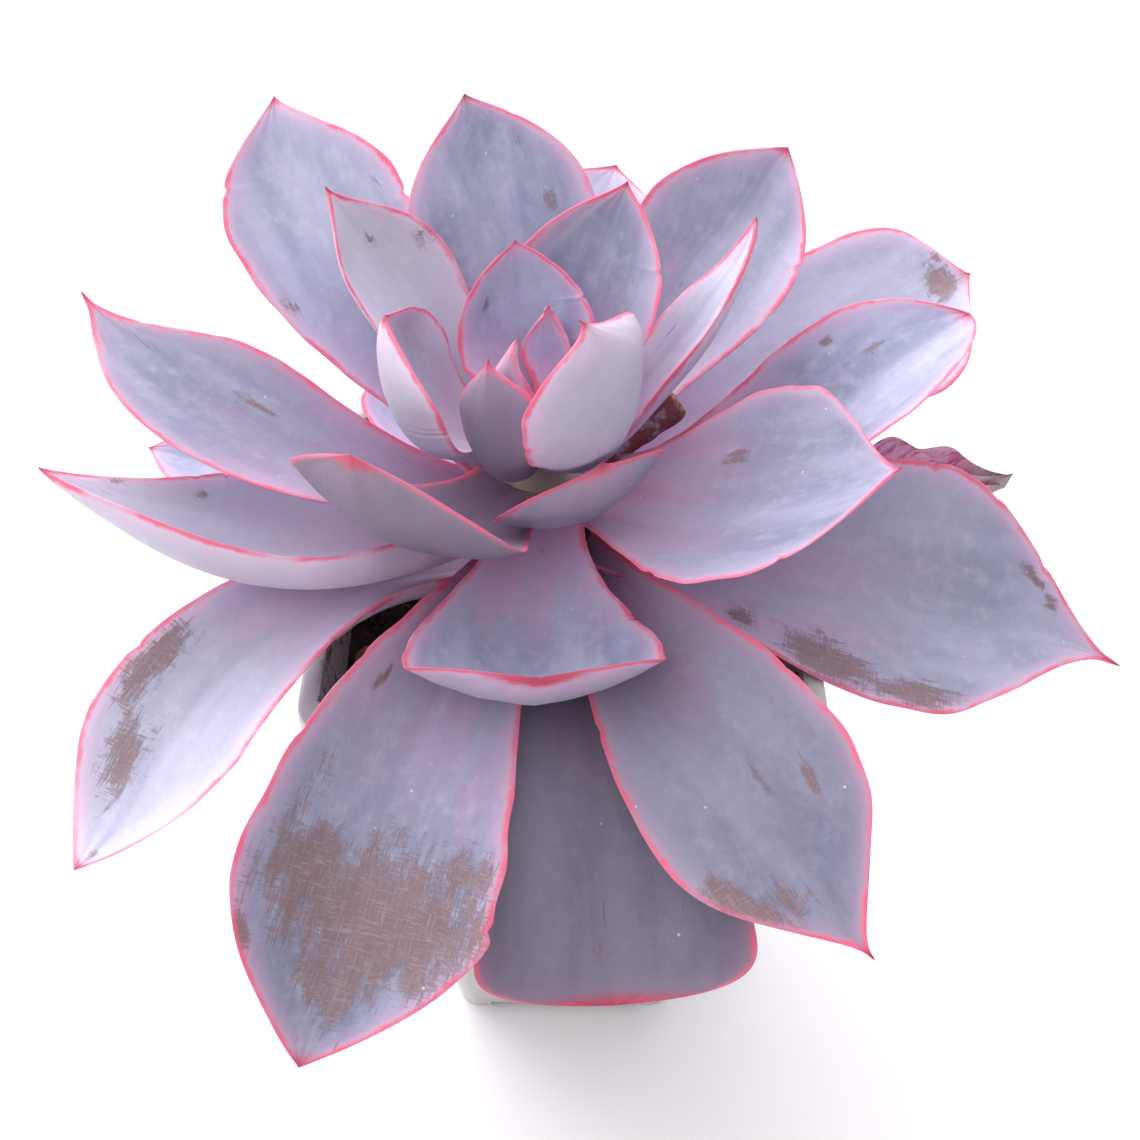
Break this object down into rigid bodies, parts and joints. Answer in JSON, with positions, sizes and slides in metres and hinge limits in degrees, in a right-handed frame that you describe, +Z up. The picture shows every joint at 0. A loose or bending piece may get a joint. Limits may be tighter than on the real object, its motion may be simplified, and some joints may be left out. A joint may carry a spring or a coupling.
{
  "type": "potted succulent",
  "caption": "Rosette succulent with thick grey-lavender leaves edged in pink, growing in a tall tapered square white nursery pot filled with dark potting mix",
  "frame": {"origin": "Middle of the pot's underside, on the central foot, where the pot rests on a shelf", "axes": "+Z up, through the middle of the pot; -Y is the front of the plant, +X its right; the pot's sides are square to X and Y"},
  "size_m": [0.2201, 0.1988, 0.2239],
  "materials": {
    "leaf": "matte",
    "young_leaf": "matte",
    "old_leaf": "matte",
    "dried_leaf": "matte",
    "stem": "matte",
    "flower_stalk": "satin",
    "soil": "matte",
    "bark_chip": "matte",
    "pot_plastic": "satin"
  },
  "bodies": {
    "root": {"pot": "pot_plastic", "soil": "soil", "stem": "stem", "flower_stalk_stub": "flower_stalk", "soil_chip_1": "bark_chip", "soil_chip_2": "bark_chip", "soil_chip_3": "bark_chip", "soil_chip_4": "bark_chip", "soil_chip_5": "bark_chip", "soil_chip_6": "bark_chip", "soil_chip_7": "bark_chip", "soil_chip_8": "bark_chip", "soil_chip_9": "bark_chip", "bud_leaf_front": "young_leaf", "bud_leaf_back": "young_leaf", "heart_leaf_back": "young_leaf", "heart_leaf_front": "young_leaf", "heart_leaf_right": "young_leaf", "heart_leaf_left": "young_leaf", "inner_leaf_back": "leaf", "inner_leaf_back_left": "leaf", "inner_leaf_right": "leaf", "inner_leaf_front": "leaf", "inner_leaf_front_left": "leaf", "middle_leaf_back": "leaf", "middle_leaf_back_left": "leaf", "middle_leaf_back_right": "leaf", "middle_leaf_right": "leaf", "middle_leaf_front_right": "leaf", "middle_leaf_front": "leaf", "middle_leaf_left": "leaf", "outer_leaf_front": "old_leaf", "outer_leaf_front_left": "old_leaf", "outer_leaf_front_right": "old_leaf", "outer_leaf_right": "old_leaf", "outer_leaf_left_front": "old_leaf", "outer_leaf_left": "old_leaf", "outer_leaf_back_right": "old_leaf", "outer_leaf_back": "old_leaf", "lowest_leaf_left": "old_leaf", "lowest_leaf_back_left": "old_leaf", "lowest_leaf_back": "old_leaf", "lowest_leaf_back_right": "old_leaf", "dried_leaf": "dried_leaf"}
  },
  "joints": []
}
